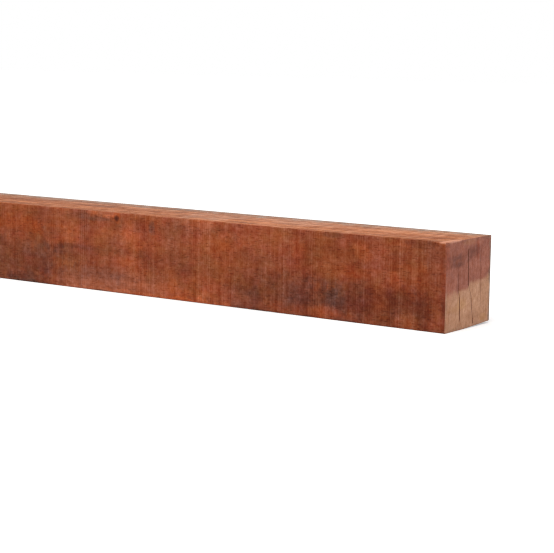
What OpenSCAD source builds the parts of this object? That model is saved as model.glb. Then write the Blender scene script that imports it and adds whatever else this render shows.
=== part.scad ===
// Pointed hardwood post, sawn square, lying on one of its long faces.
// One piece of stock: a square head at +X and a sawn driving point at -X.
// Origin: middle of the face it lies on. +Z is up.

/* [Post] */
// Side of the square sawn section
side = 70; // [50:1:150]
// Overall length, from the head to the end of the nose
post_length = 1000; // [600:10:3000]
// Width taken off each long corner, where the sawn arris has broken
arris = 1; // [0.5:0.1:4]

/* [Point] */
// Length of the sawn point, from its shoulder to the nose
point_length = 150; // [80:1:300]
// Side of the blunt square nose
nose = 10; // [6:0.5:20]

/* [Drying checks] */
// Gap of a drying check on the head, where it stands fully open
check_gap = 0.8; // [0.4:0.1:2]
// How far the drying checks run into the post from the head
check_depth = 22; // [5:1:60]

/* [Hidden] */
wood = [0.53, 0.28, 0.19];

head_x = post_length / 2;
nose_x = head_x - post_length;
shoulder_x = nose_x + point_length;

// Distance from the post's axis to a long corner, before and after the arris is broken
corner = side / sqrt(2);
corner_flat = corner - arris / sqrt(2);
// The broken arrises run on along the point and narrow with it
nose_arris = arris * nose / side;
nose_corner_flat = (nose - nose_arris) / sqrt(2);

// A block that is longer and wider than anything it has to cut away
cut_run = point_length + side;
cut_width = 2 * side;

// Each check is a list of points down its line on the head: across (Y) and up (Z)
// from the middle, as shares of the section, then the share of check_gap it stands open.
// The lines step sideways where they cross from one ray of the wood to the next.
CHECKS = [
    [
        [-0.023, 0.394, 0], [-0.02, 0.36, 1], [-0.01, 0.20, 1], [0.002, -0.01, 1],
        [0.014, -0.04, 0.4], [0.062, -0.13, 0.4], [0.068, -0.145, 1], [0.079, -0.28, 1],
        [0.086, -0.30, 0.4], [0.115, -0.39, 0.4], [0.12, -0.405, 1], [0.124, -0.45, 1],
        [0.125, -0.475, 0],
    ],
    [
        [-0.235, 0.15, 0], [-0.233, 0.12, 0.7], [-0.222, -0.06, 0.7], [-0.212, -0.085, 0.4],
        [-0.195, -0.12, 0.4], [-0.189, -0.14, 1], [-0.178, -0.37, 1], [-0.175, -0.42, 0],
    ],
    [
        [0.265, 0.31, 0], [0.267, 0.26, 0.4], [0.273, -0.06, 0.4], [0.28, -0.21, 0],
    ],
];

// Outline of a check: one lip goes down the line, the other comes back.
// They meet at both ends, where the share of the gap is nothing.
function check_outline(line) =
    let (
        last = len(line) - 1,
        lip = function (i, way) [
            side * line[i][0] + way * check_gap * line[i][2] / 2,
            side * line[i][1],
        ]
    )
    concat(
        [for (i = [0:last]) lip(i, -1)],
        [for (i = [last - 1:-1:1]) lip(i, 1)]
    );

// Section of the post with its four corners taken off
module section() {
    half = side / 2;
    polygon([
        for (turn = [0:90:270], point = [[half, half - arris], [half - arris, half]])
            [
                point[0] * cos(turn) - point[1] * sin(turn),
                point[0] * sin(turn) + point[1] * cos(turn),
            ]
    ]);
}

// The bar as it leaves the saw, along X and centred on its axis
module sawn_bar() {
    translate([nose_x, 0, 0])
        rotate([90, 0, 90])
            linear_extrude(post_length) section();
}

// Waste above one straight saw cut, which falls from one height above the
// axis at the shoulder to another at the nose
module saw_cut(at_shoulder, at_nose) {
    fall = atan((at_shoulder - at_nose) / point_length);
    translate([shoulder_x, 0, at_shoulder])
        rotate([0, -fall, 0])
            translate([-cut_run, -cut_width / 2, 0])
                cube([cut_run, cut_width, side]);
}

// Four cuts make the facets, and four narrow ones carry the arrises down the ridges
module point_waste() {
    for (turn = [0:90:270]) {
        rotate([turn, 0, 0])
            saw_cut(side / 2, nose / 2);
        rotate([turn + 45, 0, 0])
            saw_cut(corner_flat, nose_corner_flat);
    }
}

// Narrow splits that open on the head as the end grain dries
module drying_checks() {
    for (check = CHECKS)
        translate([head_x - check_depth, 0, 0])
            rotate([90, 0, 90])
                linear_extrude(2 * check_depth)
                    polygon(check_outline(check));
}

module post() {
    color(wood)
        translate([0, 0, side / 2])
            difference() {
                sawn_bar();
                point_waste();
                drying_checks();
            }
}

post();
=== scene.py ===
import math
import random
import bmesh
import bpy
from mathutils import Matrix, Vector, noise


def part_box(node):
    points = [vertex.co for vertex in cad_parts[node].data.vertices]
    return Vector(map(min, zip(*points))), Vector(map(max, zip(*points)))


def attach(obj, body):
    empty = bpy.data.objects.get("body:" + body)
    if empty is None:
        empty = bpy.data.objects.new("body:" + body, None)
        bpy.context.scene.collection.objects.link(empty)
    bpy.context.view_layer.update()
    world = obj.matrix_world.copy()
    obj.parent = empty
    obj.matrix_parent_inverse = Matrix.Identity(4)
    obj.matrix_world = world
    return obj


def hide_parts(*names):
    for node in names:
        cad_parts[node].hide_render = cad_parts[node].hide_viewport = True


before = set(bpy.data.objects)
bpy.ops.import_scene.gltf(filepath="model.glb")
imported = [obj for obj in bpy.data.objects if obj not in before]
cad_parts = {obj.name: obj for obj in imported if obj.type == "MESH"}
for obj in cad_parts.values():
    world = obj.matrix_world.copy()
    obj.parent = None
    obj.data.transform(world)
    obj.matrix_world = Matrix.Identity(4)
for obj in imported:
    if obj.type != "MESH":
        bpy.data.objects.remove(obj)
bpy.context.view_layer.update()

# The post's own stations along X, read off the solid: nose, shoulder, floor of the checks, head
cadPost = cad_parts["post"]
lowCorner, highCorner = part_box("post")
noseX, shoulderX, checkFloorX, headX = sorted({round(v.co.x, 5) for v in cadPost.data.vertices})
halfSide = (highCorner.y - lowCorner.y) / 2
midHeight = (highCorner.z + lowCorner.z) / 2
tiny = 1e-5  # places closer than this count as one
halfNose = max(v.co.y for v in cadPost.data.vertices if v.co.x < noseX + tiny)
print("frame loaded, post", round(headX - noseX, 4), "m long")


postShape = {
    "cells": 14,              # strips across each face, the outer two as narrow as the broken corners
    "arris": 0.0008,          # how far a long corner is broken, along each face
    "arrisChip": 0.00484,     # what a chip adds to that, times how far its noise passes the threshold
    "chipFrom": (0.38, 0.5),  # the thresholds of the long chips and of the short ones
    "cornerCut": 0.38,        # share of the broken width by which the corner itself draws in
    "rim": 0.0005,            # how far the edges of the head and the nose are broken
    "rimCut": 0.4,            # share of that by which the rim of an end draws in
    "knock": 0.0005,          # what is knocked off the head's upper edge, at its near corner
    "sideKnock": 0.0012,      # the same for its near edge
    "heelWear": 0.0016,       # how far its lower edge is worn up, at its far corner
    "heelStart": -0.004,      # where that wear begins across the head
    "wearReach": 0.012,       # how far from the head the wear still shows
    "strokePitch": 0.0023,    # length of stock that goes past the blade at each stroke
    "strokeJitter": 0.15,     # share by which a single stroke may be longer or shorter
    "strokeDepth": 0.00022,   # depth of the deepest grooves
    "strokeProfile": ((0.38, 1.0), (0.68, 0.25), (1, 0.0)),  # places along a stroke, and the depth there
    "wander": 0.00035,        # how far the blade wandered off a flat face
    "facetPitch": 0.0034,     # spacing of the round marks on the facets of the point
    "facetCentre": (-0.209, -0.02),  # their middle, along from the shoulder and across from the axis
    "headRelief": 0.00012,    # unevenness of the cut across the grain
    "headCuts": 3,            # extra cuts in each cell of the head
    "seed": 5,                # of the lengths and depths of the strokes
}
dice = random.Random(postShape["seed"])
faceTurns = {"near": (1, -1), "far": (1, 1), "under": (2, -1), "upper": (2, 1)}  # axis, way it faces


# Smooth noise from -1 to 1. A place is given times the turns that it takes in a metre, and the other
# numbers pick a stretch of the noise that nothing else uses
def wave(x, y=0.0, z=0.0):
    return noise.noise(Vector((x, y, z)))


def clamp(value, low=0):
    return min(max(value, low), 1)


# A ring of vertices at every place along the post where the surface turns
def sawRings():
    noseRim, headRim = noseX + postShape["rim"], headX - postShape["rim"]
    rings = [{"x": x, "stroke": 0, "groove": 0.0} for x in (noseX, noseRim)]
    for start, stop in ((noseRim, shoulderX), (shoulderX, headRim)):
        count = round((stop - start) / postShape["strokePitch"])
        widths = [1 + postShape["strokeJitter"] * dice.uniform(-1, 1) for _ in range(count)]
        step = (stop - start) / sum(widths)
        x = start
        for width in widths:
            stroke = rings[-1]["stroke"] + 1
            for share, groove in postShape["strokeProfile"]:
                rings.append({"x": x + share * width * step, "stroke": stroke, "groove": groove})
            x += width * step
    rings.append({"x": headX, "stroke": rings[-1]["stroke"], "groove": 0.0})
    return rings


# Strokes come in groups: a few deep ones, then a clean stretch. Each is a share of the full depth
def strokeDepths(rings):
    places = {ring["stroke"]: ring["x"] for ring in rings}
    depths = {}
    for number, face in enumerate(faceTurns):
        for stroke, x in places.items():
            group = 0.55 + 0.75 * wave(x * 26, number * 9.1) + 0.4 * wave(x * 90, number * 5.3)
            depths[face, stroke] = clamp(group, 0.1) * dice.uniform(0.35, 1)
    return depths


# Half the section's side at x: full along the bar, falling to the nose along the point
def halfAt(x):
    share = min((x - noseX) / (shoulderX - noseX), 1)
    return halfNose + (halfSide - halfNose) * share


# How far the corner that faces (wayY, wayZ) is broken at x
def arrisAt(x, wayY, wayZ):
    lane = 10 * wayY + 3 * wayZ
    wear = 1 + 0.35 * wave(x * 60, lane) + 0.25 * wave(x * 210, lane)
    longFrom, shortFrom = postShape["chipFrom"]
    chip = max(0, wave(x * 34, lane + 50) - longFrom) + max(0, wave(x * 120, lane + 80) - shortFrom)
    width = postShape["arris"] * wear + postShape["arrisChip"] * chip
    if wayY < 0 < wayZ:
        width += postShape["knock"] * max(0, 1 - (headX - x) / postShape["wearReach"])
    return width * halfAt(x) / halfSide


# Takes the wear off a place beside the head, which lies on the upper, near or under face, or on several.
# The knock is deepest at the near upper corner, and the ring behind the head takes a part of it
def wearHead(place, onUpper, onNear, onUnder):
    x, y, z = place
    if onUnder:
        fade = clamp(1 - (headX - x) / postShape["wearReach"])
        place[2] += postShape["heelWear"] * fade * clamp((y - postShape["heelStart"]) / halfSide)
    if x < headX - postShape["rim"] - tiny:
        return
    onHead = x > headX - tiny
    rough = 0.8 + 0.6 * wave(y * 160, z * 160, 4.4)
    if onUpper:
        place[2] -= postShape["knock"] * rough * clamp(-1.6 * y / halfSide) * (1 if onHead else 0.45)
    if onNear:
        bite = postShape["sideKnock"] * rough * clamp(1.6 * z / halfSide - 0.4)
        if onHead:
            place[1] += bite
        else:
            place[0] -= bite * 0.55


# Round marks of the saw on a facet of the point, 0 on a land and up to 1 in a groove
def facetGroove(x, across, lane):
    along, aside = postShape["facetCentre"]
    reach = math.hypot(x - shoulderX - along, across - aside)
    groove = 0.5 - 0.5 * math.cos(2 * math.pi * reach / postShape["facetPitch"])
    return groove * clamp(0.5 + 0.8 * wave(reach * 60, lane), 0.15)


# Depth of the surface on one face at a ring and a share -1..1 across it, and how deep in a groove that is
def surfaceAt(face, ring, share, depths):
    x = ring["x"]
    lane = list(faceTurns).index(face) * 7.7
    wander = postShape["wander"] * (0.5 + 0.5 * wave(x * 7, share * 0.8, lane))
    if x < shoulderX - tiny:
        half = halfAt(x)
        groove = facetGroove(x, share * half, lane)
        return (wander * 0.5 + postShape["strokeDepth"] * groove) * half / halfSide, groove
    fade = clamp(0.8 + 0.5 * wave(x * 150, share * 1.7, lane))
    groove = depths[face, ring["stroke"]] * ring["groove"] * fade
    return wander + postShape["strokeDepth"] * groove, groove


# Place on the section at x for a vertex whose shares run -1..1 across it, with the broken corners past inner
def placeOnSection(x, shares, inner):
    half = halfAt(x)
    corner = arrisAt(x, *(math.copysign(1, share) for share in shares[1:]))
    onCorner = all(abs(share) > inner + tiny for share in shares[1:])
    place = [x, 0, 0]
    for axis in (1, 2):
        if abs(shares[axis]) > inner + tiny:
            drawnIn = postShape["cornerCut"] * corner if onCorner else 0
            place[axis] = math.copysign(half - drawnIn, shares[axis])
        else:
            place[axis] = shares[axis] / inner * (half - corner)
    return place


# Moves each vertex of the plain bar to its place on the sawn post, and marks the edges, painted as worn and
# lit, and saw grooves
def layOutBar(bar, rings, depths):
    last = len(rings) - 1
    inner = 1 - 2 / postShape["cells"]
    wornAndLit = bar.verts.layers.float.new("wornEdge")
    grooved = bar.verts.layers.float.new("sawGroove")
    for vert in bar.verts:
        ring = rings[round((vert.co.x + 0.5) * last)]
        shares = [0, 2 * vert.co.y, 2 * vert.co.z]  # -1 to 1 across the section
        place = placeOnSection(ring["x"], shares, inner)
        for face, (axis, way) in faceTurns.items():
            if abs(shares[axis] - way) < tiny:
                depth, vert[grooved] = surfaceAt(face, ring, shares[3 - axis], depths)
                place[axis] -= way * depth
        wearHead(place, *(share > inner - tiny for share in (shares[2], -shares[1], -shares[2])))
        onEnd = ring["x"] in (noseX, headX)
        onEdges = sum(abs(share) > inner + tiny for share in shares) + onEnd
        if onEnd and onEdges > 1:
            place[0] -= math.copysign(postShape["rimCut"] * postShape["rim"], ring["x"])
        vert[wornAndLit] = onEdges > 1
        vert.co = Vector(place) + Vector((0, 0, midHeight))


# The head's own cells are cut finer, and take the unevenness of a cut across the grain
def roughenHead(bar):
    inHead = {f for f in bar.faces if min(v.co.x for v in f.verts) > headX - postShape["rim"] * 0.9}
    edges = [e for e in bar.edges if all(f in inHead for f in e.link_faces)]
    bmesh.ops.subdivide_edges(bar, edges=edges, cuts=postShape["headCuts"], use_grid_fill=True)
    for vert in bar.verts:
        y, z = vert.co.y, vert.co.z - midHeight
        inside = halfSide - max(abs(y), abs(z))
        if vert.co.x > headX - tiny and inside > postShape["arris"]:
            sweep = wave(math.hypot(y + 0.2, z + 0.35) * 420, 3.3)
            relief = 0.5 + 0.35 * sweep + 0.3 * wave(y * 900, z * 900, 7.1)
            vert.co.x -= postShape["headRelief"] * clamp(relief)


def buildBar():
    rings = sawRings()
    bar = bmesh.new()
    bmesh.ops.create_cube(bar, size=1)
    alongX = [e for e in bar.edges if abs(e.verts[0].co.x - e.verts[1].co.x) > 0.5]
    bmesh.ops.subdivide_edges(bar, edges=alongX, cuts=len(rings) - 2, use_grid_fill=True)
    across = [e for e in bar.edges if abs(e.verts[0].co.x - e.verts[1].co.x) < tiny]
    bmesh.ops.subdivide_edges(bar, edges=across, cuts=postShape["cells"] - 1, use_grid_fill=True)
    layOutBar(bar, rings, strokeDepths(rings))
    roughenHead(bar)
    print("bar built,", len(rings), "rings")
    return bar


checkShape = {
    "raggedness": 0.00022,    # how far the lips stray from their line
    "counts": (300, 420),     # how often they stray per metre, across and up
    "longEdge": 0.003,        # edges longer than this are cut up, so that the lips can stray
    "cuts": 5,                # cuts in each of those edges
    "sliver": 2e-6,
}


# The solid's own drying checks as loose wedges, a little ragged, to cut the head with
def buildCheckCutter():
    cutter = bmesh.new()
    cutter.from_mesh(cadPost.data)
    bmesh.ops.remove_doubles(cutter, verts=cutter.verts, dist=tiny)
    spare = [f for f in cutter.faces if max(abs(v.co.x - checkFloorX) for v in f.verts) > tiny]
    bmesh.ops.delete(cutter, geom=spare, context="FACES")
    bmesh.ops.dissolve_limit(cutter, angle_limit=0.01, verts=cutter.verts, edges=cutter.edges)
    bmesh.ops.recalc_face_normals(cutter, faces=cutter.faces)
    longEdges = [e for e in cutter.edges if e.calc_length() > checkShape["longEdge"]]
    bmesh.ops.subdivide_edges(cutter, edges=longEdges, cuts=checkShape["cuts"])
    acrossCount, upCount = checkShape["counts"]
    for vert in cutter.verts:
        vert.co.y += checkShape["raggedness"] * wave(vert.co.y * acrossCount, vert.co.z * upCount)
    raised = bmesh.ops.extrude_face_region(cutter, geom=cutter.faces[:])
    moved = [g for g in raised["geom"] if isinstance(g, bmesh.types.BMVert)]
    bmesh.ops.translate(cutter, vec=(2 * (headX - checkFloorX), 0, 0), verts=moved)
    bmesh.ops.recalc_face_normals(cutter, faces=cutter.faces)
    return cutter


def asObject(shape, name):
    mesh = bpy.data.meshes.new(name)
    shape.to_mesh(mesh)
    shape.free()
    piece = bpy.data.objects.new(name, mesh)
    bpy.context.scene.collection.objects.link(piece)
    return piece


# Closes the slivers that the cut leaves, and splits its many-sided faces
def cleanCut(mesh):
    shape = bmesh.new()
    shape.from_mesh(mesh)
    bmesh.ops.dissolve_degenerate(shape, dist=checkShape["sliver"], edges=shape.edges)
    manySided = [f for f in shape.faces if len(f.verts) > 4]
    bmesh.ops.triangulate(shape, faces=manySided, ngon_method="BEAUTY")
    shape.to_mesh(mesh)
    shape.free()


def cutChecks(piece, cutter):
    cut = piece.modifiers.new("checks", "BOOLEAN")
    cut.operation = "DIFFERENCE"
    cut.solver = "MANIFOLD"
    cut.object = cutter
    bpy.context.view_layer.update()
    whole = piece.evaluated_get(bpy.context.evaluated_depsgraph_get())
    mesh = bpy.data.meshes.new_from_object(whole)
    cleanCut(mesh)
    piece.modifiers.clear()
    piece.data = mesh
    bpy.data.objects.remove(cutter)


sawnPost = asObject(buildBar(), "sawnPost")
cutChecks(sawnPost, asObject(buildCheckCutter(), "checkCutter"))
print("checks cut,", sum(len(face.vertices) - 2 for face in sawnPost.data.polygons), "triangles")


# Wraps a socket, so that shader maths is written as plain arithmetic
class Wire:
    def __init__(self, kit, socket):
        self.kit = kit
        self.socket = socket

    def maths(self, operation, *values):
        return self.kit.node("ShaderNodeMath", {"operation": operation}, dict(enumerate(values)))

    def __add__(self, other):
        return self.maths("ADD", self, other)

    def __sub__(self, other):
        return self.maths("SUBTRACT", self, other)

    def __rsub__(self, other):
        return self.maths("SUBTRACT", other, self)

    def __mul__(self, other):
        return self.maths("MULTIPLY", self, other)

    def __truediv__(self, other):
        return self.maths("DIVIDE", self, other)

    def __rtruediv__(self, other):
        return self.maths("DIVIDE", other, self)

    def __pow__(self, other):
        return self.maths("POWER", self, other)

    def __rpow__(self, other):
        return self.maths("POWER", other, self)

    def __neg__(self):
        return self.maths("MULTIPLY", self, -1)

    __radd__ = __add__
    __rmul__ = __mul__

    def larger(self, other):
        return self.maths("MAXIMUM", self, other)

    def size(self):
        return self.maths("ABSOLUTE", self)

    # 0 at low, 1 at high, with soft ends
    def rise(self, low, high):
        sockets = {"Value": self, "From Min": low, "From Max": high}
        return self.kit.node("ShaderNodeMapRange", {"interpolation_type": "SMOOTHSTEP"}, sockets)


# Adds nodes to one tree
class NodeKit:
    def __init__(self, tree):
        self.tree = tree

    # Adds a node: its settings first, then the values or wires of its sockets. Gives back one output or all
    def node(self, kind, settings, sockets, output=0):
        made = self.tree.nodes.new(kind)
        for name, value in settings.items():
            if name == "stops":
                self.setStops(made.color_ramp, value)
            else:
                setattr(made, name, value)
        for name, value in sockets.items():
            self.plug(made.inputs[name], value)
        if output is None:
            return [Wire(self, socket) for socket in made.outputs]
        return Wire(self, made.outputs[output])

    def plug(self, socket, value):
        if isinstance(value, Wire):
            self.tree.links.new(value.socket, socket)
        else:
            socket.default_value = value

    def setStops(self, ramp, stops):
        while len(ramp.elements) < len(stops):
            ramp.elements.new(1)
        for element, (position, colour) in zip(ramp.elements, stops):
            element.position = position
            element.color = colour

    def ray(self, kind):
        return self.node("ShaderNodeLightPath", {}, {}, kind)


screenGamma = 2.4    # the curve between how a tone looks on a screen and what the shader takes
dryWoodGloss = 0.22  # how much light the dry wood reflects, where the shader's usual is 0.5


# A material, with the tones and patterns of the wood at hand
class Finish(NodeKit):
    def __init__(self, name):
        self.material = bpy.data.materials.new(name)
        self.material.use_nodes = True
        super().__init__(self.material.node_tree)
        self.shader = self.tree.nodes["Principled BSDF"]
        self.place = self.node("ShaderNodeTexCoord", {}, {}, "Object")
        self.x, self.y, self.z = self.node("ShaderNodeSeparateXYZ", {}, {0: self.place}, None)
        self.patterns = {}

    def scaled(self, factors, offset=(0, 0, 0)):
        settings = {"operation": "MULTIPLY_ADD"}
        return self.node("ShaderNodeVectorMath", settings, {0: self.place, 1: factors, 2: offset})

    # One of the named patterns, from -0.5 to 0.5. It is made once, when it is first called for
    def pattern(self, name):
        if name not in self.patterns:
            counts, detail, roughness, start = woodPatterns[name]
            place = self.scaled(counts, (start, start * 1.7, start * 0.6))
            sockets = {"Vector": place, "Scale": 1, "Detail": detail, "Roughness": roughness}
            self.patterns[name] = self.node("ShaderNodeTexNoise", {}, sockets) - 0.5
        return self.patterns[name]

    # Several patterns added up, each times its strength
    def patternSum(self, strengths):
        return sum(self.pattern(name) * strength for name, strength in strengths.items())

    # Tones stay as they look on a screen until finish raises them to what the shader takes
    def colour(self, tone):
        return (*[(c + 0.055) / 1.055 for c in tone], 1)

    def ramp(self, value, name):
        stops = [(position, self.colour(tone)) for position, tone in woodTones[name]]
        return self.node("ShaderNodeValToRGB", {"stops": stops}, {0: value})

    def mix(self, share, first, second):
        return self.node("ShaderNodeMix", {"data_type": "RGBA"}, {0: share, 6: first, 7: second}, 2)

    # Lays one plain tone over a colour
    def over(self, share, colour, name):
        return self.mix(share, colour, self.colour(woodTones[name]))

    # Adds an amount of a tone to a colour, or takes it away where the amount is below 0
    def lift(self, amount, colour, name):
        settings = {"data_type": "RGBA", "blend_type": "ADD", "clamp_factor": False, "clamp_result": True}
        return self.node("ShaderNodeMix", settings, {0: amount, 6: colour, 7: (*woodTones[name], 1)}, 2)

    def attribute(self, name):
        return self.node("ShaderNodeAttribute", {"attribute_name": name}, {}, "Fac")

    # A soft-edged blot round a centre, stretched to its reach along each axis
    def blot(self, centre, reach, ragged):
        away = self.node("ShaderNodeVectorMath", {"operation": "SUBTRACT"}, {0: self.place, 1: centre})
        away = self.node("ShaderNodeVectorMath", {"operation": "DIVIDE"}, {0: away, 1: reach})
        length = self.node("ShaderNodeVectorMath", {"operation": "LENGTH"}, {0: away}, 1)
        return 1 - (length + ragged).rise(0.40, 1.10)

    def setShader(self, values):
        for name, value in values.items():
            self.plug(self.shader.inputs[name], value)
        return self.material

    def finish(self, colour, roughness, height, depth):
        raised = self.node("ShaderNodeGamma", {}, {"Color": colour, "Gamma": screenGamma})
        bump = self.node("ShaderNodeBump", {}, {"Strength": 1, "Distance": depth, "Height": height})
        values = {"Base Color": raised, "Roughness": roughness, "Normal": bump}
        return self.setShader({**values, "Specular IOR Level": dryWoodGloss})


# Dark, middle and light tones, which lie the same step apart in all four woods of the long faces
def rampRound(middle):
    step = (0.234, 0.129, 0.066)
    return [(0.5 + 0.3 * way, tuple(c + way * s for c, s in zip(middle, step))) for way in (-1, 0, 1)]


woodTones = {
    "rose": rampRound((0.568, 0.268, 0.182)),
    "tawny": rampRound((0.548, 0.300, 0.162)),
    "mauve": rampRound((0.522, 0.302, 0.232)),
    "ember": rampRound((0.591, 0.265, 0.099)),
    # The upper face's tones, paler than the sides partly as painted light from above and painted sheen
    "dustyAndLit": [(0.25, (0.54, 0.31, 0.19)), (0.50, (0.685, 0.42, 0.28)), (0.75, (0.82, 0.53, 0.375))],
    "ashen": [(0.25, (0.53, 0.35, 0.26)), (0.50, (0.67, 0.465, 0.365)), (0.75, (0.80, 0.58, 0.47))],
    "endRed": [(0.20, (0.46, 0.25, 0.20)), (0.50, (0.61, 0.365, 0.295)), (0.80, (0.72, 0.45, 0.36))],
    "endTan": [(0.20, (0.62, 0.43, 0.32)), (0.50, (0.74, 0.54, 0.42)), (0.80, (0.84, 0.64, 0.51))],
    "split": [(0.30, (0.34, 0.18, 0.12)), (0.70, (0.50, 0.28, 0.20))],
    "fuzz": (0.75, 0.84, 1.00),
    "stainAndShadow": (0.27, 0.19, 0.175),
    "grey": (0.52, 0.43, 0.38),
    "wornAndLit": (0.87, 0.62, 0.52),
    "dusk": (0.63, 0.54, 0.49),
    "ochre": (0.74, 0.53, 0.33),
}

# Counts per metre along each axis, detail, roughness, and where in the noise each pattern starts
woodPatterns = {
    "warp": ((7, 20, 20), 2, 0.5, 3.1),                # of the growth rings
    "broad": ((6, 42, 42), 3, 0.6, 4.4),
    "band": ((40, 9, 9), 0, 0.5, 9.1),
    "tint": ((50, 60, 60), 3, 0.6, 17.3),
    "hue": ((30, 55, 55), 4, 0.65, 9.3),
    "ragged": ((70, 60, 60), 5, 0.7, 7.7),
    "mottle": ((95, 120, 120), 5, 0.7, 11.3),
    "fleck": ((190, 250, 250), 1, 0.5, 21.4),
    "speckle": ((560, 420, 420), 3, 0.7, 14.9),
    "fibre": ((75, 620, 620), 4, 0.65, 1.3),
    "fine": ((90, 1900, 1900), 2, 0.6, 8.2),
    "chatter": ((270, 7, 7), 1, 0.5, 2.2),             # of the saw, across the faces
    "strokeGroups": ((34, 5, 5), 2, 0.5, 6.7),
    "chips": ((220, 60, 60), 1, 0.5, 6.4),
    "longStreaks": ((8, 130, 130), 2, 0.5, 12.7),      # of the upper face's dust and painted light
    "shortStreaks": ((26, 200, 200), 3, 0.7, 15.8),
    "smallPatches": ((170, 60, 60), 2, 0.6, 25.1),
    "widePatches": ((55, 45, 45), 2, 0.5, 27.3),
    "cloud": ((40, 95, 95), 4, 0.65, 2.9),             # of the head
    "blotch": ((60, 170, 170), 2, 0.6, 19.4),
    "rays": ((60, 700, 45), 2, 0.6, 5.1),
}
logShape = {
    "pith": (-0.033, 2 * halfSide + 0.185),  # the middle of the log, across and up
    "ringCount": 260,                        # growth rings per metre
    "ringWarp": 0.006,                       # how far they stray from round
    "poreCounts": (110, 1150, 1150),         # per metre along each axis
    "poreEdge": (0.12, 0.32),                # a pore's soft border, in shares of a cell
}


def nearSpot(x, z, reachX, reachZ, strength):
    return (x, -halfSide, z), (reachX, 0.02, reachZ), strength


def upperSpot(x, y, reachX, reachY, strength):
    return (x, y, 2 * halfSide), (reachX, reachY, 0.01), strength


def headSpot(y, z, reachY, reachZ, strength):
    return (headX, y, z), (0.006, reachY, reachZ), strength
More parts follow.
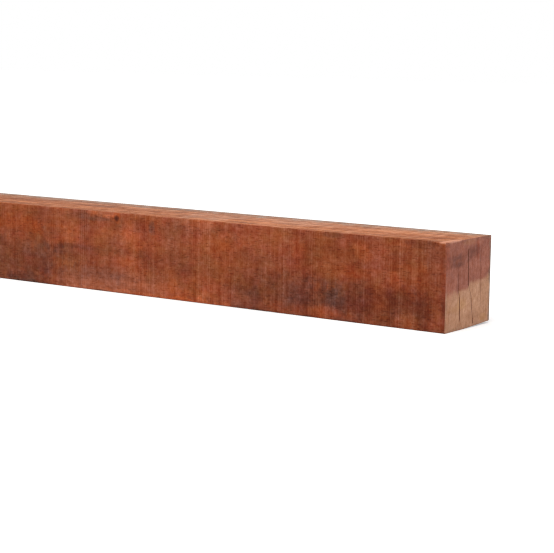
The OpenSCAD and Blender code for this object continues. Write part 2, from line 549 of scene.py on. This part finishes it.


# Places where the wood changes, and on the lower edge painted light and shade: in tone by steps of the
# ramps, in hue to mauve or, below 0, to ember
woodSpots = {
    # Spots at z 0 paint the lower edge lighter or darker: painted light and shade where it meets the floor
    "tone": [
        nearSpot(0.050, 0.021, 0.080, 0.027, -0.11), nearSpot(0.066, 0.003, 0.040, 0.008, -0.10),
        nearSpot(0.124, 0.037, 0.030, 0.003, -0.08), nearSpot(0.108, 0.035, 0.026, 0.006, -0.07),
        nearSpot(0.195, 0.001, 0.120, 0.017, 0.14), nearSpot(0.186, 0.032, 0.020, 0.046, 0.07),
        nearSpot(0.120, 0.050, 0.012, 0.013, 0.08), nearSpot(0.150, 0.045, 0.034, 0.010, 0.05),
        nearSpot(0.235, 0.052, 0.090, 0.020, 0.05), nearSpot(0.264, 0.030, 0.015, 0.046, 0.02),
        nearSpot(0.158, 0.069, 0.020, 0.004, 0.10), nearSpot(0.261, 0.067, 0.020, 0.008, 0.12),
        nearSpot(0.020, 0.065, 0.070, 0.008, 0.05), nearSpot(0.200, 0.014, 0.008, 0.020, 0.05),
        nearSpot(0.431, 0.018, 0.078, 0.018, -0.11), nearSpot(0.345, 0.019, 0.058, 0.017, -0.07),
        nearSpot(0.414, 0.014, 0.026, 0.012, -0.06), nearSpot(0.480, 0.018, 0.009, 0.020, -0.08),
        nearSpot(0.320, 0.010, 0.006, 0.018, -0.06), nearSpot(0.341, 0.027, 0.006, 0.012, -0.05),
        nearSpot(0.216, 0.028, 0.014, 0.009, -0.05), nearSpot(0.247, 0.026, 0.014, 0.008, -0.05),
        nearSpot(0.463, 0.004, 0.012, 0.010, 0.09), nearSpot(0.390, 0.005, 0.014, 0.009, 0.09),
        nearSpot(0.453, 0.016, 0.004, 0.020, -0.04), nearSpot(0.300, 0.024, 0.010, 0.014, -0.03),
        nearSpot(0.480, 0.067, 0.020, 0.004, -0.10), nearSpot(0.470, 0.056, 0.018, 0.012, -0.05),
        nearSpot(0.330, 0.058, 0.030, 0.014, 0.04), nearSpot(0.195, 0.000, 0.100, 0.004, 0.14),
        nearSpot(0.262, 0.000, 0.040, 0.005, 0.20), nearSpot(0.405, 0.000, 0.022, 0.004, -0.10),
        nearSpot(0.192, 0.044, 0.013, 0.030, 0.08), nearSpot(0.080, 0.049, 0.009, 0.009, 0.09),
        nearSpot(0.364, 0.055, 0.009, 0.012, 0.09), nearSpot(0.389, 0.030, 0.010, 0.005, -0.09),
        nearSpot(0.395, 0.068, 0.012, 0.003, -0.10), nearSpot(0.175, 0.061, 0.009, 0.006, -0.08),
        nearSpot(0.172, 0.065, 0.003, 0.003, -0.22), nearSpot(0.163, 0.066, 0.008, 0.002, 0.14),
        nearSpot(0.424, 0.057, 0.010, 0.010, 0.10), nearSpot(0.455, 0.036, 0.006, 0.010, 0.09),
        nearSpot(0.178, 0.011, 0.009, 0.008, -0.08), nearSpot(0.143, 0.068, 0.008, 0.003, 0.10),
        nearSpot(0.120, 0.029, 0.012, 0.010, -0.06), nearSpot(0.299, 0.056, 0.006, 0.008, -0.06),
        nearSpot(0.500, 0.016, 0.004, 0.026, -0.08), nearSpot(0.500, 0.052, 0.004, 0.008, -0.05),
    ],
    "hue": [
        nearSpot(0.055, 0.052, 0.068, 0.008, -0.50), nearSpot(0.295, 0.041, 0.026, 0.010, -0.20),
        nearSpot(0.415, 0.044, 0.085, 0.011, -0.12), nearSpot(0.441, 0.021, 0.008, 0.020, -0.35),
        nearSpot(0.472, 0.031, 0.018, 0.014, -0.30), nearSpot(0.234, 0.015, 0.006, 0.012, -0.30),
        nearSpot(0.206, 0.015, 0.006, 0.012, -0.25), nearSpot(0.172, 0.065, 0.006, 0.006, -0.60),
        nearSpot(0.190, 0.052, 0.022, 0.012, 0.30), nearSpot(0.010, 0.040, 0.032, 0.009, 0.45),
        nearSpot(0.080, 0.031, 0.030, 0.009, 0.35), nearSpot(0.030, 0.011, 0.040, 0.016, 0.30),
        nearSpot(0.160, 0.008, 0.078, 0.018, 0.75), nearSpot(0.150, 0.067, 0.026, 0.006, 0.30),
        nearSpot(0.256, 0.065, 0.024, 0.008, 0.35), nearSpot(0.370, 0.018, 0.052, 0.016, 0.40),
        nearSpot(0.400, 0.018, 0.010, 0.010, 0.25), nearSpot(0.304, 0.008, 0.028, 0.012, 0.25),
        nearSpot(0.091, 0.016, 0.008, 0.012, 0.25), nearSpot(0.492, 0.055, 0.016, 0.018, 0.55),
        upperSpot(0.128, 0.006, 0.020, 0.014, 0.50), upperSpot(0.335, 0.008, 0.060, 0.026, 0.60),
        upperSpot(0.258, 0.000, 0.040, 0.030, 0.80),
    ],
    # Stains, with painted shadow at z 0, where the lower edge meets the floor
    "stainAndShadow": [
        nearSpot(0.396, 0.020, 0.010, 0.010, 0.45), nearSpot(0.152, 0.063, 0.016, 0.002, 0.40),
        nearSpot(0.212, 0.060, 0.004, 0.007, 0.50),
        nearSpot(0.066, 0.000, 0.034, 0.003, 0.80), nearSpot(0.152, 0.000, 0.012, 0.002, 0.70),
        nearSpot(0.325, 0.000, 0.012, 0.002, 0.70), nearSpot(0.374, 0.000, 0.006, 0.002, 0.70),
        nearSpot(0.414, 0.000, 0.008, 0.002, 0.70), upperSpot(0.207, 0.006, 0.012, 0.014, 0.25),
        upperSpot(0.205, 0.022, 0.028, 0.010, 0.50),
    ],
}
headSpots = {
    "tone": [
        headSpot(-0.016, 0.054, 0.021, 0.007, -0.10), headSpot(0.006, 0.060, 0.018, 0.006, -0.07),
        headSpot(-0.016, 0.037, 0.003, 0.015, -0.10), headSpot(-0.026, 0.055, 0.004, 0.008, -0.05),
        headSpot(0.016, 0.046, 0.017, 0.010, 0.08), headSpot(-0.028, 0.033, 0.010, 0.007, 0.06),
        headSpot(0.002, 0.022, 0.030, 0.012, 0.05), headSpot(0.010, 0.010, 0.012, 0.004, -0.06),
        headSpot(0.0205, 0.030, 0.0008, 0.024, -0.14), headSpot(0.0285, 0.026, 0.0006, 0.018, -0.10),
        headSpot(0.0130, 0.050, 0.0007, 0.016, -0.10), headSpot(-0.0250, 0.016, 0.0006, 0.012, -0.08),
        headSpot(0.0110, 0.022, 0.0007, 0.016, 0.10), headSpot(-0.0060, 0.020, 0.0006, 0.014, 0.10),
    ],
    "mauve": [headSpot(-0.018, 0.054, 0.017, 0.007, 0.50), headSpot(0.006, 0.060, 0.014, 0.005, 0.35)],
    "rose": [
        headSpot(-0.034, 0.058, 0.006, 0.018, 0.60), headSpot(0.014, 0.062, 0.003, 0.010, 0.50),
        headSpot(-0.035, 0.030, 0.010, 0.060, 0.15),
    ],
    "ochre": [
        headSpot(-0.021, 0.017, 0.010, 0.004, 0.25), headSpot(-0.010, 0.020, 0.009, 0.005, 0.40),
        headSpot(-0.002, 0.067, 0.014, 0.003, 0.20), headSpot(0.024, 0.006, 0.007, 0.004, 0.40),
    ],
}


# Rings round the middle of the log, which run right through the post
def growthRings(kit):
    pithY, pithZ = logShape["pith"]
    across, above = kit.y - pithY, kit.z - pithZ
    warp = (kit.pattern("warp") + 0.5) * logShape["ringWarp"]
    radius = (across * across + above * above) ** 0.5 + warp
    sockets = {"W": radius * logShape["ringCount"], "Scale": 1, "Detail": 3, "Roughness": 0.6}
    return kit.node("ShaderNodeTexNoise", {"noise_dimensions": "1D"}, sockets) - 0.5


# Vessels: long thin cells along the grain, which show as dashes on the sides and dots on the head
def pores(kit):
    sockets = {"Vector": kit.scaled(logShape["poreCounts"]), "Scale": 1, "Randomness": 1}
    distance = kit.node("ShaderNodeTexVoronoi", {"feature": "F1"}, sockets, "Distance")
    return 1 - distance.rise(*logShape["poreEdge"])


# What a list of spots adds up to, with ragged edges
def spotsOn(kit, spots):
    ragged = kit.pattern("ragged") * 2
    return sum(kit.blot(centre, reach, ragged) * strength for centre, reach, strength in spots)


# How strongly each pattern shows on the long faces
sideLook = {
    "middle": 0.532,          # where plain wood lies along its ramps
    "tone": {"broad": 0.34, "band": 0.15},
    "moreBroad": 0.40,        # added to the broad clouds away from the near face
    "rings": 0.06,
    "fineHue": 2.1,
    "spotHue": 1.2,
    "chatter": 0.20,
    "strokes": 0.115,
    "strokeMiddle": 0.35,     # depth in a groove at which a stroke leaves the tone as it is
    "betweenGroups": 0.42,    # share of the chatter and strokes that is left between their groups
    "inGroups": 0.95,         # what is added to that in a group
    "chips": 0.115,
    "fuzz": {"fibre": 0.09, "fleck": 0.17, "speckle": 0.23},
    "moreSpeckle": 0.05,      # added to the speckle towards the head
    "pores": 0.06,
    "relief": {"fibre": 0.5, "fine": 0.3},
    "markRelief": 4,
    "poreRelief": 0.5,
    "depth": 0.0004,          # of the whole relief, in metres
    "roughness": 0.78,
    "unevenGloss": 0.2,
}


# Marks of the saw across the faces: chatter and single strokes in groups, and the chips torn out
def sawMarks(kit):
    strokes = (kit.attribute("sawGroove") - sideLook["strokeMiddle"]) * sideLook["strokes"]
    groups = kit.pattern("strokeGroups").rise(-0.2, 0.2)
    share = sideLook["betweenGroups"] + groups * sideLook["inGroups"]
    chatter = kit.pattern("chatter") * sideLook["chatter"]
    return (chatter + strokes) * share + kit.pattern("chips") * sideLook["chips"]


# The wood of the long faces: its tone runs from dark to light, its hue from ember below 0 to mauve above
def sideWood(kit, tone, hue, smearAndShadow):
    awayFromNear = (kit.y + halfSide).rise(0.002, 0.010)
    value = sideLook["middle"] + kit.patternSum(sideLook["tone"]) + growthRings(kit) * sideLook["rings"]
    value = value + kit.pattern("broad") * awayFromNear * sideLook["moreBroad"] + tone
    tawny = kit.pattern("tint").rise(-0.3, 0.3)
    colour = kit.mix(tawny, kit.ramp(value, "rose"), kit.ramp(value, "tawny"))
    colour = kit.mix(hue.larger(0), colour, kit.ramp(value, "mauve"))
    colour = kit.mix((-hue).larger(0), colour, kit.ramp(value, "ember"))
    return kit.over(smearAndShadow, colour, "stainAndShadow")


dustAndLightLook = {
    "middle": 0.51,           # where plain dust, partly painted light, lies along its ramps
    "streaks": {"longStreaks": 0.5, "shortStreaks": 1.2},
    "patches": {"smallPatches": 0.45, "widePatches": 0.35},
    "paler": 0.10,            # what the tone gains towards the head
    "darker": 0.12,           # what it loses close to the head, on the near side
    "ragged": 0.03,           # how far the borders across the face stray
    "ashen": 0.8,             # shares of the other tones, where they are strongest
    "ochre": 0.4,
    "dusk": 0.66,
    "stainAndShadow": 0.6,
}


# The upper face, dusty and painted lighter than the sides, partly as painted light from above and painted
# sheen; paler towards the head and greyer towards its far side
def upperDustAndLight(kit, hue, smearAndShadow):
    streaks, patches = kit.patternSum(dustAndLightLook["streaks"]), kit.patternSum(dustAndLightLook["patches"])
    nearHead = kit.x.rise(0.40, 0.46) * (1 - kit.y.rise(-0.026, -0.008))
    value = dustAndLightLook["middle"] + streaks + patches
    value = value + kit.x.rise(0.12, 0.32) * dustAndLightLook["paler"] - nearHead * dustAndLightLook["darker"]
    across = kit.y + kit.pattern("mottle") * dustAndLightLook["ragged"]
    ashen = hue.larger(across.rise(-0.010, 0.026)) * dustAndLightLook["ashen"]
    colour = kit.mix(ashen, kit.ramp(value, "dustyAndLit"), kit.ramp(value, "ashen"))
    colour = kit.over((-hue).larger(0) * dustAndLightLook["ochre"], colour, "ochre")
    # Darker and greyer along the upper face's far edge
    greyerFarEdge = (across + patches * 0.05).rise(0.014, 0.030)
    greyerFarEdge = greyerFarEdge * (dustAndLightLook["dusk"] + patches * 2 + streaks * 0.8).larger(0)
    colour = kit.over(greyerFarEdge, colour, "dusk")
    return kit.over(smearAndShadow * dustAndLightLook["stainAndShadow"], colour, "stainAndShadow")


# Where the upper face's dust and painted light lie: up to its corners, thinner along the near one
def upperShare(kit):
    above, aside = kit.z - midHeight, kit.y.size()
    onTop = above.rise(halfSide - 0.0030, halfSide - 0.0015) * (above - aside).rise(0.0003, 0.0011)
    nearSide = 1 - (kit.y + kit.pattern("mottle") * 0.02).rise(-0.035, -0.028)
    return onTop * (0.95 - nearSide * 0.35)


wearLightAndShadeLook = {
    "scuff": 0.6,             # shares of bare wood, worn edges with painted highlight, painted shadow and painted shade, where they are strongest
    # painted shadow along the lower edge, where it meets the floor
    "lowShade": 0.12,
    "edges": 0.25,
    "knockedAndLit": 0.9,           # added to the edges at the head's near upper corner, as wear and painted highlight
    "headEdgeWearAndHighlight": 0.8,
    "rimShade": 0.15,
    "farRimShade": 0.5,        # added to that towards the head's far side
}


# Where the head's near upper corner is knocked bare and catches the light, painted as a highlight
def knockedLitCorner(kit):
    atCorner = 1 - kit.y.rise(-0.018, -0.004)
    return atCorner * (kit.z - midHeight).rise(halfSide - 0.0045, halfSide - 0.0025)


# The scuffed end of the upper face, painted shadow along the lower edge where it meets the floor, and worn
# edges painted lighter, as bare wood and painted highlight
def wearShadeAndHighlight(kit, colour):
    mottle = kit.pattern("mottle")
    scuffed = (kit.x + mottle * 0.006).rise(headX - 0.008, headX - 0.004)
    scuffed = scuffed * (1 - (kit.y + mottle * 0.02).rise(-0.014, -0.006))
    scuffed = scuffed * (kit.z - midHeight).rise(halfSide - 0.002, halfSide - 0.001)
    colour = kit.over(scuffed * wearLightAndShadeLook["scuff"], colour, "wornAndLit")
    # Painted shadow along the lower edge, where the post meets the floor
    lowEdge = 1 - (kit.z + mottle * 0.006).rise(0.0004, 0.0026)
    colour = kit.over(lowEdge * wearLightAndShadeLook["lowShade"], colour, "stainAndShadow")
    # Edges painted lighter: bare wood where they are worn, and a painted highlight where the broken corners
    # catch the light
    wear = kit.attribute("wornEdge") * (0.5 + mottle * 1.5).larger(0) * (1 - lowEdge)
    knockedAndLit = kit.x.rise(headX - 0.014, headX - 0.001) * knockedLitCorner(kit)
    return kit.over(wear * (wearLightAndShadeLook["edges"] + knockedAndLit * wearLightAndShadeLook["knockedAndLit"]), colour, "wornAndLit")


# The finish of the long faces and the point: sawn wood, dusty on its upper face and painted lighter there,
# as painted light and sheen
def sawnFace():
    kit = Finish("sawnFace")
    marks, vessels = sawMarks(kit), pores(kit)
    tone, hue, stainAndShadow = (spotsOn(kit, woodSpots[kind]) for kind in ("tone", "hue", "stainAndShadow"))
    hue = hue * sideLook["spotHue"] + kit.pattern("hue") * sideLook["fineHue"]
    smearAndShadow = stainAndShadow * (0.5 + kit.pattern("mottle") * 3).larger(0)
    fuzz = marks + kit.patternSum(sideLook["fuzz"]) - vessels * sideLook["pores"]
    fuzz = fuzz + kit.pattern("speckle") * kit.x.rise(0.15, 0.45) * sideLook["moreSpeckle"]
    wood = kit.lift(fuzz, sideWood(kit, tone, hue, smearAndShadow), "fuzz")
    dustAndLight = kit.lift(fuzz, upperDustAndLight(kit, hue, smearAndShadow), "fuzz")
    colour = wearShadeAndHighlight(kit, kit.mix(upperShare(kit), wood, dustAndLight))
    height = kit.patternSum(sideLook["relief"]) + marks * sideLook["markRelief"]
    height = height - vessels * sideLook["poreRelief"]
    roughness = kit.pattern("fibre") * sideLook["unevenGloss"] + sideLook["roughness"]
    return kit.finish(colour, roughness, height, sideLook["depth"])


# The line between the redder and the paler wood of the head
headLine = {
    "height": 0.0313,         # at the middle of the head
    "slope": 0.10,            # how it rises towards the far side
    "levelUpTo": -0.016,      # it is level from the near side to here
    "steps": ((-0.016, 0.0008), (0.0006, 0.0022), (0.0188, 0.0008)),  # where it steps up, and how far
    "softness": 0.0036,
    "crisper": 0.0012,        # what its softness loses past the first check
    "ragged": {"cloud": 0.010, "speckle": 0.003},
}


# Share of the redder wood, which lies above the line
def redShare(kit):
    climbed = [kit.y.rise(y - 0.0005, y + 0.0005) for y, step in headLine["steps"]]
    line = headLine["height"] + kit.y.larger(headLine["levelUpTo"]) * headLine["slope"]
    line = line + sum(share * step for share, (y, step) in zip(climbed, headLine["steps"]))
    above = kit.z - line + kit.patternSum(headLine["ragged"])
    return (above / (headLine["softness"] - climbed[0] * headLine["crisper"])).rise(-1, 1)


# How strongly each pattern shows on the head
headLook = {
    "middle": 0.54,           # where plain wood lies along its ramps
    "tone": {"cloud": 0.5, "blotch": 0.25},
    "rings": 0.15,
    "fuzz": {"rays": 0.14, "fleck": 0.14, "speckle": 0.16, "fine": 0.12},
    "pores": 0.09,
    "fineRelief": 0.5,
    "poreRelief": 0.5,
    "depth": 0.0002,          # of the whole relief, in metres
    "roughness": 0.72,
    "unevenGloss": 0.15,
}


# The cut across the grain: redder wood above, paler below, with painted shade towards the rim, most along
# the far side
def crosscutHead():
    kit = Finish("crosscutHead")
    vessels = pores(kit)
    spots = {kind: spotsOn(kit, listed) for kind, listed in headSpots.items()}
    value = headLook["middle"] + growthRings(kit) * headLook["rings"]
    value = value + kit.patternSum(headLook["tone"]) + spots["tone"]
    colour = kit.mix(redShare(kit), kit.ramp(value, "endTan"), kit.ramp(value, "endRed"))
    for kind in ("mauve", "rose"):
        colour = kit.mix(spots[kind], colour, kit.ramp(value, kind))
    colour = kit.over(spots["ochre"], colour, "ochre")
    # Painted shade along the head's rim, strongest towards its far edge
    inside = halfSide - kit.y.size().larger((kit.z - midHeight).size())
    rim = 1 - (inside + kit.pattern("cloud") * 0.008).rise(0.0005, 0.0040)
    shadeAtRim = wearLightAndShadeLook["rimShade"] + kit.y.rise(0.02, 0.034) * wearLightAndShadeLook["farRimShade"]
    colour = kit.over(rim * shadeAtRim, colour, "grey")
    # Bare wood and a painted highlight on the head's knocked near upper corner
    wornAndLit = kit.attribute("wornEdge") * kit.y.rise(-0.034, -0.026) * knockedLitCorner(kit)
    colour = kit.over(wornAndLit * wearLightAndShadeLook["headEdgeWearAndHighlight"], colour, "wornAndLit")
    fuzz = kit.patternSum(headLook["fuzz"]) - vessels * headLook["pores"]
    colour = kit.lift(fuzz, colour, "fuzz")
    fine = kit.pattern("fine")
    height = fine * headLook["fineRelief"] - vessels * headLook["poreRelief"]
    roughness = fine * headLook["unevenGloss"] + headLook["roughness"]
    return kit.finish(colour, roughness, height, headLook["depth"])


# The torn wood inside the drying checks
def checkWall():
    kit = Finish("checkWall")
    fibre = kit.pattern("fibre")
    return kit.finish(kit.ramp(fibre + 0.5, "split"), fibre * 0.1 + 0.8, fibre, headLook["depth"])


postMap = {
    "width": 0.58,            # stock that the whole map takes in, across and down
    "margin": 0.002,          # left clear beside the strips
    "pitch": 0.0725,          # from one strip of a long face to the next
    "column": 0.5055,         # where the ends and the checks lie, beyond the strips
    "checkLines": (-0.0145, 0.0035, 0.0190),  # the middle of each check, across the head
    "wallPitch": 0.0240,      # from one check's walls to the next
    "wallRows": (1.3, 2.2),   # rows, in strips, of the walls that face the near and the far side
    "endLean": 0.6,           # faces turned this much along the post lie with the ends
    "wallInside": 0.0015,     # a check's walls lie at least this far inside the section
}


# True for the walls and the floor of a check, which lie inside the section
def inCheck(face):
    centre = face.center
    inside = halfSide - max(abs(centre.y), abs(centre.z - midHeight))
    return centre.x > checkFloorX - tiny and inside > postMap["wallInside"]


# Where a face of the post lies on its map: the axes that run across and up it, and the shift along each
def chartOf(face):
    centre, normal = face.center, face.normal
    column, pitch = postMap["column"], postMap["pitch"]
    if abs(normal.x) > postMap["endLean"]:
        if centre.x > 0:
            return 1, 2, column + halfSide, 0
        return 1, 2, column + halfNose, pitch - midHeight + halfNose
    if inCheck(face):
        lines = postMap["checkLines"]
        nearest = min(range(len(lines)), key=lambda i: abs(lines[i] - centre.y))
        row = postMap["wallRows"][normal.y > 0] * pitch
        return 0, 2, column + nearest * postMap["wallPitch"] - checkFloorX, row
    ways = (-normal.y, normal.y, -normal.z, normal.z)  # in the order of faceTurns
    side = ways.index(max(ways))
    strip = 2 * side + (centre.x > 0)
    cross = 3 - list(faceTurns.values())[side][0]
    low = -halfSide if cross == 1 else 0
    return 0, cross, postMap["margin"] - (noseX if centre.x < 0 else 0), strip * pitch - low


# A flat layout of the post for baked finishes: each long face in two strips, the ends and checks beside them
def layOutMap(mesh):
    flat = mesh.uv_layers.new(name="OFBake")
    for face in mesh.polygons:
        across, up, shiftAcross, shiftUp = chartOf(face)
        for corner in face.loop_indices:
            place = mesh.vertices[mesh.loops[corner].vertex_index].co
            spot = (place[across] + shiftAcross, place[up] + shiftUp)
            flat.data[corner].uv = [distance / postMap["width"] for distance in spot]


postDress = {
    "endLean": 0.5,           # faces turned this much along the post, at its ends, get the cut wood
    "sharpFrom": 55,          # degrees at which an edge is drawn sharp
}


def dressPost(piece):
    mesh = piece.data
    mesh.materials.clear()
    for material in (sawnFace(), crosscutHead(), checkWall()):
        mesh.materials.append(material)
    for face in mesh.polygons:
        fromEnd = min(headX - face.center.x, face.center.x - noseX)
        if abs(face.normal.x) > postDress["endLean"] and fromEnd < 2 * postShape["rim"]:
            face.material_index = 1
        elif inCheck(face):
            face.material_index = 2
        face.use_smooth = True
    mesh.set_sharp_from_angle(angle=math.radians(postDress["sharpFrom"]))


layOutMap(sawnPost.data)
print("post mapped")
dressPost(sawnPost)
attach(sawnPost, "root")
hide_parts("post")
print("post dressed")


studio = {
    "floorSize": 16.0,
    "floorTone": 0.80,
    "floorLift": 0.36,        # added for the camera alone, so that the open floor is white
    "farLift": 0.75,          # the same, far from the post
    "liftStart": 0.6,         # how far from the middle the lift begins to grow
    "liftStop": 1.8,          # and where it stops
    "surround": 0.62,         # soft light from all round
    "softboxPower": 34.0,
    "softboxSize": 1.8,
    "softboxPlace": (0.6, -0.8, 2.2),
    "softboxAim": (0.25, 0.0, 0.03),
    "filterWidth": 1.15,
}


def buildFloor():
    shape = bmesh.new()
    bmesh.ops.create_grid(shape, x_segments=1, y_segments=1, size=studio["floorSize"] / 2)
    floor = asObject(shape, "floor")
    kit = Finish("paleFloor")
    away = ((kit.x * kit.x + kit.y * kit.y) ** 0.5).rise(studio["liftStart"], studio["liftStop"])
    lift = studio["floorLift"] + away * (studio["farLift"] - studio["floorLift"])
    floor.data.materials.append(kit.setShader({
        "Base Color": (*[studio["floorTone"]] * 3, 1), "Roughness": 0.9, "Specular IOR Level": 0,
        "Emission Color": (1, 1, 1, 1), "Emission Strength": kit.ray("Is Camera Ray") * lift,
    }))


# White where the camera or a gloss sees it, dimmer as a light
def buildWorld():
    world = bpy.data.worlds.new("surround")
    bpy.context.scene.world = world
    world.use_nodes = True
    kit = NodeKit(world.node_tree)
    background = kit.tree.nodes["Background"]
    kit.plug(background.inputs["Color"], (1, 1, 1, 1))
    seen = kit.ray("Is Camera Ray").larger(kit.ray("Is Glossy Ray"))
    kit.plug(background.inputs["Strength"], studio["surround"] + seen * (1 - studio["surround"]))


def buildSoftbox():
    lamp = bpy.data.lights.new("softbox", "AREA")
    lamp.energy = studio["softboxPower"]
    lamp.size = studio["softboxSize"]
    holder = bpy.data.objects.new("softbox", lamp)
    holder.location = studio["softboxPlace"]
    towards = Vector(studio["softboxAim"]) - holder.location
    holder.rotation_euler = towards.to_track_quat("-Z", "Y").to_euler()
    bpy.context.scene.collection.objects.link(holder)


# Aimed past the head's near corner, from low on the near side
cameraPlan = {
    "turn": math.radians(35.58),
    "lift": math.radians(7.83),
    "roll": math.radians(0.76),
    "distance": 1.268,
    "aim": (headX - 0.1036, -halfSide - 0.0739, midHeight + 0.0074),
    "lens": 109.37,
    "sensor": 36,
    "nearClip": 0.01,
}


def placeCamera():
    turn, lift = cameraPlan["turn"], cameraPlan["lift"]
    back = Vector((math.sin(turn) * math.cos(lift), -math.cos(turn) * math.cos(lift), math.sin(lift)))
    lens = bpy.data.cameras.new("camera")
    lens.lens = cameraPlan["lens"]
    lens.sensor_width = cameraPlan["sensor"]
    lens.clip_start = cameraPlan["nearClip"]
    camera = bpy.data.objects.new("camera", lens)
    camera.location = Vector(cameraPlan["aim"]) + back * cameraPlan["distance"]
    camera.rotation_euler = (-back).to_track_quat("-Z", "Y").to_euler()
    camera.rotation_euler.rotate_axis("Z", cameraPlan["roll"])
    bpy.context.scene.collection.objects.link(camera)
    bpy.context.scene.camera = camera


buildFloor()
buildWorld()
buildSoftbox()
placeCamera()
bpy.context.scene.view_settings.view_transform = "Standard"
bpy.context.scene.cycles.filter_width = studio["filterWidth"]
print("studio ready")
